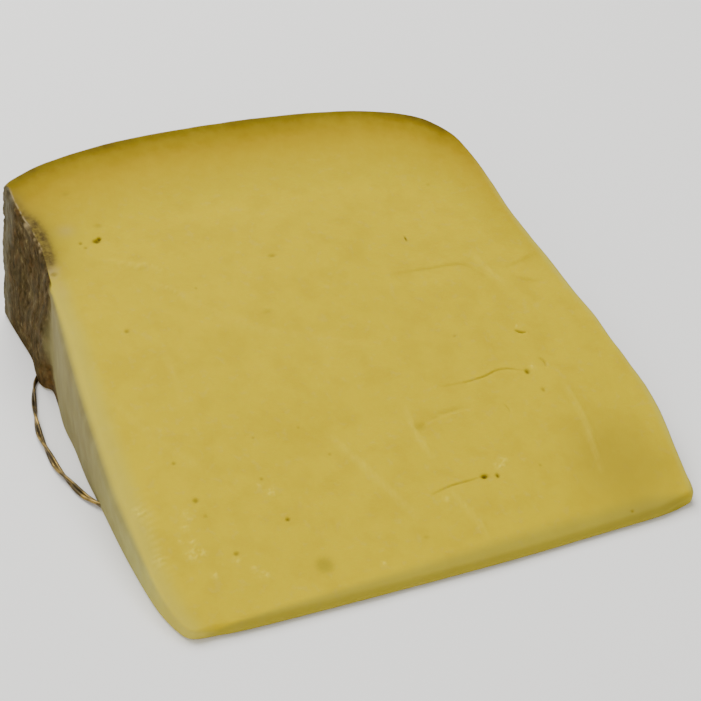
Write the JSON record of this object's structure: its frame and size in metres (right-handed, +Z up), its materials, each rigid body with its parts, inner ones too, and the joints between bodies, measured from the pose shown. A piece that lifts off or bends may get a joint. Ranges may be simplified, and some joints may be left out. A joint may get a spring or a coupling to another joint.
{
  "type": "wedge of aged kashar cheese",
  "caption": "Thin wedge cut from a small wheel of aged kashar cheese, lying on its lower cut face, with a loop of gilt twine coming out from under one side.",
  "frame": {"origin": "middle of the wedge's bounding box, on the surface it lies on", "axes": "+Z up, +Y from the wedge's thin tip towards the wheel's rim, +X along the wheel's axis from the low crusted flat to the domed flat"},
  "size_m": [0.1101, 0.115, 0.0347],
  "materials": {
    "cheese": "smooth, slightly waxy cheese paste, pale yellow, darker and more orange near the rim, with a dry brown and grey mouldy rind on the wheel's flats and rim",
    "gilt_twine": "two strands of gilt thread, twisted together, tarnished dark brown with golden glints"
  },
  "bodies": {
    "root": {"kashar_wedge": "cheese", "twine_loop": "gilt_twine"}
  },
  "joints": []
}
